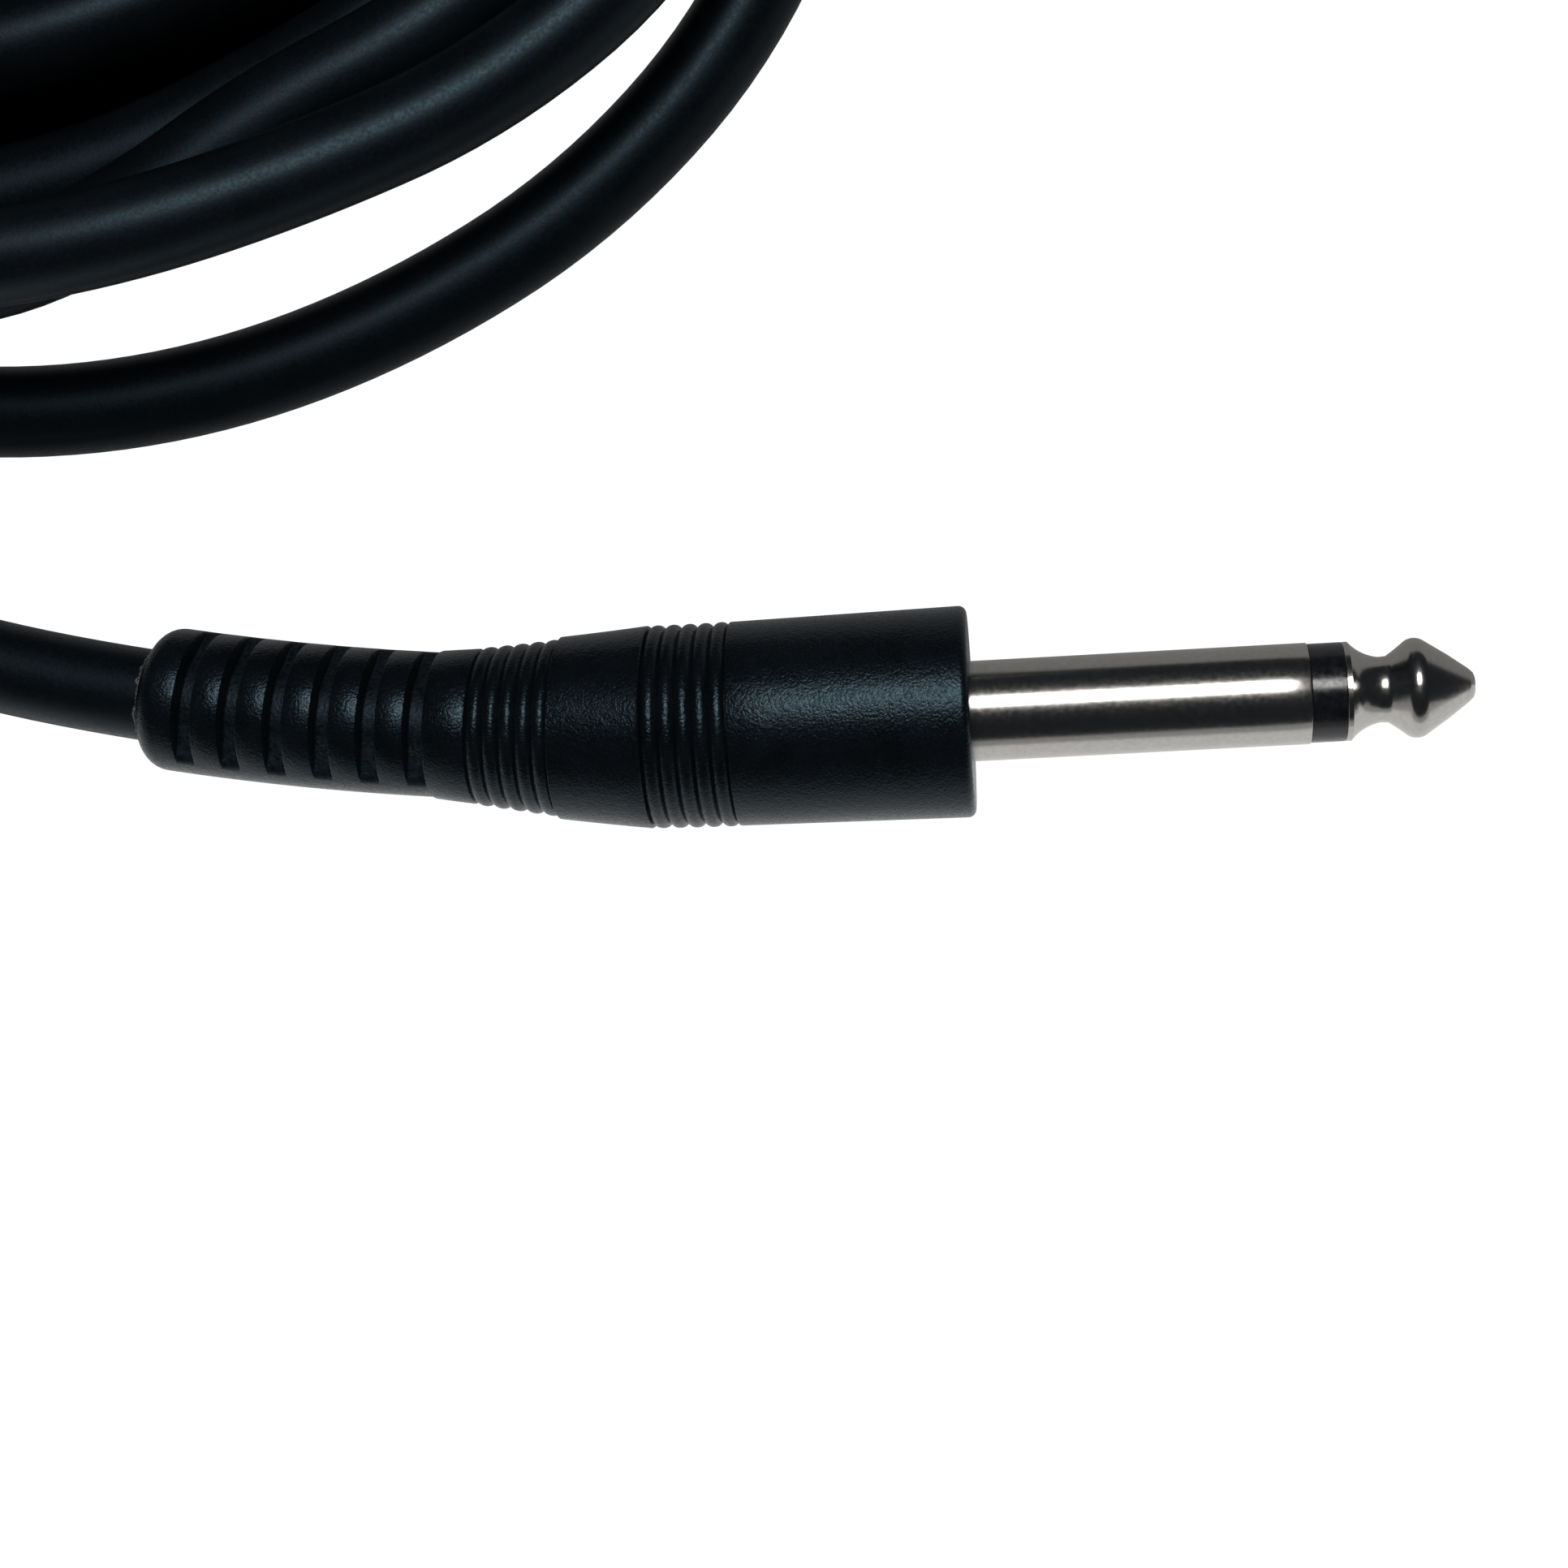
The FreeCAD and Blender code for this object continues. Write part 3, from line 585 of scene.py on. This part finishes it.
class CABLE_OT_studio(bpy.types.Operator):
    """Makes the white floor and backdrop, the unseen bounce sheets, the soft light and the camera"""
    bl_idname = "instrument_cable.studio"
    bl_label = "Studio"

    def execute(self, context):
        studio, scene = settings().studio, context.scene
        front = plug_place("a").translation
        names = ("white_floor", "white_backdrop", "near_bounce", "far_bounce", "side_bounce")
        sheets = {name: bmesh.new() for name in names}
        bmesh.ops.create_circle(sheets["white_floor"], cap_ends=True, radius=FLOOR_RADIUS, segments=96)
        bmesh.ops.create_icosphere(sheets["white_backdrop"], subdivisions=4, radius=3.0)
        for name, low, high in (("near_bounce", -FLOOR_RADIUS, 0), ("far_bounce", 0, FLOOR_RADIUS)):
            half = bmesh.ops.create_circle(sheets[name], cap_ends=True, radius=FLOOR_RADIUS, segments=96)["verts"]
            for vert in half:
                vert.co.y = min(max(vert.co.y, low), high)
            bmesh.ops.remove_doubles(sheets[name], verts=half, dist=1e-6)
        wall = sheets["side_bounce"]
        foot = wall.verts.new((WALL_RADIUS * math.cos(WALL_START), WALL_RADIUS * math.sin(WALL_START), 0))
        bmesh.ops.spin(wall, geom=[foot], cent=(0, 0, 0), axis=(0, 0, 1), angle=WALL_SWEEP, steps=60,
                       use_merge=False, use_duplicate=False)
        made = bmesh.ops.extrude_edge_only(wall, edges=wall.edges)["geom"]
        bmesh.ops.translate(wall, vec=(0, 0, studio.wall), verts=corners(made))
        glow = {"white_floor": WHITE, "white_backdrop": WHITE, "near_bounce": studio.table,
                "far_bounce": 0.3 * studio.table, "side_bounce": 0.45 * studio.table}
        for name, mesh in sheets.items():
            data = bpy.data.meshes.new(name)
            mesh.to_mesh(data)
            mesh.free()
            piece = bpy.data.objects.new(name, data)
            piece.location = (front.x, front.y, -0.0002 if name.startswith("white") else -0.0003)
            scene.collection.objects.link(piece)
            material, tree, shader, where = finish_tree(name + "_sheet")
            shader.inputs["Base Color"].default_value = (0.06, 0.06, 0.06, 1)
            shader.inputs["Roughness"].default_value = 0.9
            shader.inputs["Specular IOR Level"].default_value = 0.0
            shader.inputs["Emission Color"].default_value = (1, 1, 1, 1)
            shader.inputs["Emission Strength"].default_value = glow[name]
            data.materials.append(material)
            seen = name.startswith("white")
            piece.visible_camera = seen
            for rays in ("glossy", "diffuse", "transmission", "shadow"):
                setattr(piece, "visible_" + rays, not seen)
        world = scene.world or bpy.data.worlds.new("dark_room")
        scene.world = world
        world.use_nodes = True
        world.node_tree.nodes["Background"].inputs["Color"].default_value = (0.016, 0.019, 0.023, 1)
        light = bpy.data.lights.new("overhead_light", "AREA")
        light.shape, light.size, light.size_y = "RECTANGLE", 0.24, 0.22
        light.energy, light.color = studio.overhead, (1.0, 0.99, 0.97)
        lamp = bpy.data.objects.new("overhead_light", light)
        lamp.location = front + Vector((0.015, LAMP_DISTANCE * math.sin(LAMP_LEAN), LAMP_DISTANCE * math.cos(LAMP_LEAN)))
        lamp.rotation_euler = (-LAMP_LEAN, 0, 0)
        scene.collection.objects.link(lamp)
        t, a = studio.tilt, studio.roll
        right = Vector((math.cos(t) * math.cos(a), -math.cos(t) * math.sin(a), -math.sin(t)))
        up = Vector((math.sin(a), math.cos(a), 0))
        back = Vector((math.sin(t) * math.cos(a), -math.sin(t) * math.sin(a), math.cos(t)))
        camera = bpy.data.cameras.new("camera")
        camera.lens, camera.sensor_width = studio.lens, 36
        camera.clip_start, camera.clip_end = 0.01, 10
        eye = bpy.data.objects.new("camera", camera)
        eye.matrix_world = Matrix((right, up, back)).transposed().to_4x4()
        eye.location = front + Vector((*CAMERA_OFFSET, studio.height - front.z))
        scene.collection.objects.link(eye)
        scene.camera = eye
        scene.view_settings.view_transform = "Standard"
        return {"FINISHED"}


class CABLE_OT_mouldings(bpy.types.Operator):
    """Makes each plug's black moulding: barrel, grip ribs, cone, collar and slotted boot"""
    bl_idname = "instrument_cable.mouldings"
    bl_label = "Mouldings"

    def execute(self, context):
        material, slots = moulding_finish(), slot_painted_light_finish()
        for plug in CURL:
            outline = [(-BARREL_LENGTH - s, r) for s, r in moulding_outline()]
            mesh = turned(outline, settings().moulding.sides)
            cut_slots(mesh)
            bend(mesh, plug)
            piece = keep(f"plug_{plug}_moulding", mesh, plug_place(plug), material,
                         [f"plug_{plug}_body"])
            # The second material is the slots' painted light: a paler colour for their lit walls and ends.
            piece.data.materials.append(slots)
        return {"FINISHED"}


class CABLE_OT_boot_flash(bpy.types.Operator):
    """Makes the rough line of flash where the cable leaves each boot"""
    bl_idname = "instrument_cable.boot_flash"
    bl_label = "Boot flash"

    def execute(self, context):
        material = flash_finish()
        for plug in CURL:
            mesh = turned(FLASH_OUTLINE, FLASH_SIDES)
            for vert in mesh.verts:
                if vert.co.x > 0.01:
                    rough = noise.noise(vert.co * 2.3) * 0.8 + noise.noise(vert.co * 6.0) * 0.5
                    vert.co.x *= max(0.25, 1 + rough)
            bmesh.ops.transform(mesh, matrix=on_bend(plug, BOOT_END), verts=mesh.verts)
            keep(f"plug_{plug}_boot_flash", mesh, plug_place(plug), material, [])
        return {"FINISHED"}


class CABLE_OT_pins(bpy.types.Operator):
    """Makes each plug's sleeve, insulating ring and tip"""
    bl_idname = "instrument_cable.pins"
    bl_label = "Pins"

    def execute(self, context):
        sizes, nickel, black = settings().pin, nickel_finish(), black_ring_finish()
        r, sleeve = sizes.radius / MM, sizes.sleeve_end / MM
        ring, ring_r = sizes.ring_end / MM, sizes.ring_radius / MM
        sleeve_line = [(-4, 2), (-4, r), (-2.6, r), (-2.6, 4.6), (-1.2, 4.6), (-1.2, 2.9), (0, 2.9), (0, r)]
        sleeve_line += [((sleeve - 0.1) * i / 12, r) for i in range(1, 13)]
        sleeve_line += [(sleeve - 0.03, r - 0.02), (sleeve, r - 0.07), (sleeve, 2)]
        ring_line = [(sleeve - 3, 1.1), (sleeve - 3, 2), (sleeve, 2), (sleeve, ring_r - 0.05),
                     (sleeve + 0.05, ring_r), (ring - 0.05, ring_r), (ring, ring_r - 0.05), (ring, 1.1)]
        rod = [(ring, 1.1), (-5.8, 1.1), (-5.8, 1.7), (-6.4, 1.7), (-6.4, 0.0)]
        tip_line = rod[::-1] + tip_outline()
        for plug in CURL:
            place = plug_place(plug)
            keep(f"plug_{plug}_jack_sleeve", turned(sleeve_line, sizes.sides), place, nickel,
                 [f"plug_{plug}_sleeve"])
            keep(f"plug_{plug}_jack_ring", turned(ring_line, sizes.sides), place, black,
                 [f"plug_{plug}_front_insulator"])
            keep(f"plug_{plug}_jack_tip", turned(tip_line, sizes.sides, False), place, nickel,
                 [f"plug_{plug}_tip_contact"])
        return {"FINISHED"}


class CABLE_OT_inner_parts(bpy.types.Operator):
    """Gives the pieces inside the mouldings their finishes"""
    bl_idname = "instrument_cable.inner_parts"
    bl_label = "Inner parts"

    def execute(self, context):
        finishes = {
            "inner_tube": inner_finish("natural_tube_plastic", (0.62, 0.6, 0.54), 0.4),
            "rear_washer": inner_finish("white_washer_plastic", (0.68, 0.67, 0.63), 0.45),
            "tip_lug": inner_finish("tinned_lug", (0.62, 0.6, 0.57), 0.34, 1.0, 0.3),
            "cable_jacket": jacket_finish(),
            "cable_shield": inner_finish("braided_copper", (0.72, 0.36, 0.2), 0.38, 1.0, 0.2),
            "cable_coat": inner_finish("conductive_coat", (0.012, 0.012, 0.013), 0.6),
            "cable_core": inner_finish("clear_core_plastic", (0.66, 0.64, 0.58), 0.35),
            "cable_conductor": inner_finish("stranded_copper", (0.78, 0.4, 0.24), 0.32, 1.0, 0.15),
            "tip_solder": inner_finish("dull_solder", (0.5, 0.5, 0.52), 0.36, 1.0, 0.4),
            "inner_mould": inner_finish("natural_inner_mould", (0.55, 0.54, 0.48), 0.5),
        }
        finishes["ground_lug"] = finishes["tip_lug"]
        finishes["shield_pigtail"] = finishes["cable_shield"]
        finishes["ground_solder"] = finishes["tip_solder"]
        for plug in CURL:
            for part, material in finishes.items():
                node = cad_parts[f"plug_{plug}_{part}"]
                node.data.materials.clear()
                node.data.materials.append(material)
        return {"FINISHED"}


class CABLE_OT_cable(bpy.types.Operator):
    """Lays the cable from one boot to the other through the hank"""
    bl_idname = "instrument_cable.cable"
    bl_label = "Cable"

    def execute(self, context):
        sizes = settings().cable
        route = cable_route()
        curve = bpy.data.curves.new("cable", "CURVE")
        curve.dimensions = "3D"
        curve.bevel_depth = sizes.diameter / 2
        curve.bevel_resolution = 12
        curve.resolution_u = 8
        spline = curve.splines.new("NURBS")
        spline.points.add(len(route) - 1)
        for point, spot in zip(spline.points, route):
            point.co = (*spot, 1)
        spline.order_u = 3
        spline.use_endpoint_u = True
        curve.materials.append(jacket_finish())
        cable = bpy.data.objects.new("cable", curve)
        context.scene.collection.objects.link(cable)
        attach(cable, "root")
        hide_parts("cord_lead_a", "cord_coil", "cord_lead_b")
        return {"FINISHED"}


class CABLE_OT_strap(bpy.types.Operator):
    """Wraps the woven strap round the hank, with its end pressed on over itself"""
    bl_idname = "instrument_cable.strap"
    bl_label = "Strap"

    def execute(self, context):
        sizes = settings().cable
        half, skin = sizes.strap_width / MM / 2, sizes.strap_thickness / MM
        spots = []
        for i, (x, y, z) in enumerate(hank_points()):
            bearing = math.remainder(180 - ROUTE_STEP * i, 360)
            if bearing in (0, ROUTE_STEP):
                spots.append((math.hypot(x - COIL_CENTRE[0], y - COIL_CENTRE[1]), z))
        mesh = bmesh.new()
        steps, row, runs = 150, [], [0.0]
        sweep = 2 * math.pi + 0.9
        for i in range(steps + 1):
            angle = math.radians(60) + sweep * i / steps
            n = (math.cos(angle), math.sin(angle))
            over = max(0.0, min(1.0, (angle - math.radians(60) - 2 * math.pi + 0.5) / 0.4))
            far = max(spots, key=lambda s: s[0] * n[0] + s[1] * n[1])
            lift = 3.02 + skin / 2 + over * over * (3 - 2 * over) * (skin + 0.05)
            row.append((far[0] + n[0] * lift, max(far[1] + n[1] * lift, skin / 2 + 0.02)))
        tight = [row[0]]
        for point in row[1:]:
            base = tight[-1]
            pieces = max(1, round(math.dist(point, base) / 1.2))
            tight += [(base[0] + (point[0] - base[0]) * k / pieces, base[1] + (point[1] - base[1]) * k / pieces)
                      for k in range(1, pieces + 1)]
        bearing = math.radians(STRAP_BEARING)
        out = Vector((math.cos(bearing), math.sin(bearing), 0))
        along = Vector((-math.sin(bearing), math.cos(bearing), 0))
        middle = Vector((*COIL_CENTRE, 0))
        chain = [mesh.verts.new(middle + out * r + Vector((0, 0, z)) - along * half) for r, z in tight]
        edges = [mesh.edges.new(pair) for pair in zip(chain, chain[1:])]
        for _ in range(8):
            made = bmesh.ops.extrude_edge_only(mesh, edges=edges)["geom"]
            edges = [e for e in made if isinstance(e, bmesh.types.BMEdge)]
            bmesh.ops.translate(mesh, vec=along * (half / 4), verts=corners(made))
        for before, after in zip(tight, tight[1:]):
            runs.append(runs[-1] + math.dist(before, after))
        where = {(round(r, 3), round(z, 3)): run for (r, z), run in zip(tight, runs)}
        layer = mesh.loops.layers.uv.new("strap")
        for face in mesh.faces:
            for loop in face.loops:
                local = loop.vert.co - middle
                key = (round(local.dot(out), 3), round(local.z, 3))
                run = where.get(key, min(where.items(), key=lambda w: math.dist(w[0], key))[1])
                loop[layer].uv = (run * MM, local.dot(along) * MM)
        piece = keep("hank_strap", mesh, Matrix.Identity(4), strap_finish(), ["cord_tie"])
        solid = piece.modifiers.new("thickness", "SOLIDIFY")
        solid.thickness, solid.offset = sizes.strap_thickness, 0
        return {"FINISHED"}


class CABLE_PT_panel(bpy.types.Panel):
    """Sizes, colours and steps of the instrument cable"""
    bl_idname = "CABLE_PT_panel"
    bl_label = "Instrument Cable"
    bl_space_type = "VIEW_3D"
    bl_region_type = "UI"
    bl_category = "Instrument Cable"

    def draw(self, context):
        values = context.scene.instrument_cable
        for title, group in (("Pin", values.pin), ("Moulding", values.moulding), ("Cable", values.cable),
                             ("Colours", values.colours), ("Studio", values.studio)):
            box = self.layout.box()
            box.label(text=title)
            for name in group.__annotations__:
                box.prop(group, name)
        for step in STEPS:
            self.layout.operator(step.bl_idname)


STEPS = (CABLE_OT_studio, CABLE_OT_mouldings, CABLE_OT_boot_flash, CABLE_OT_pins, CABLE_OT_inner_parts,
         CABLE_OT_cable, CABLE_OT_strap)
CLASSES = (PinSizes, MouldingSizes, CableSizes, CableColours, StudioSettings, CableSettings, *STEPS, CABLE_PT_panel)


def register():
    for item in CLASSES:
        bpy.utils.register_class(item)
    bpy.types.Scene.instrument_cable = PointerProperty(type=CableSettings)


def unregister():
    del bpy.types.Scene.instrument_cable
    for item in reversed(CLASSES):
        bpy.utils.unregister_class(item)


def main():
    register()
    for step in STEPS:
        group, name = step.bl_idname.split(".")
        getattr(getattr(bpy.ops, group), name)()


if __name__ == "__main__":
    main()
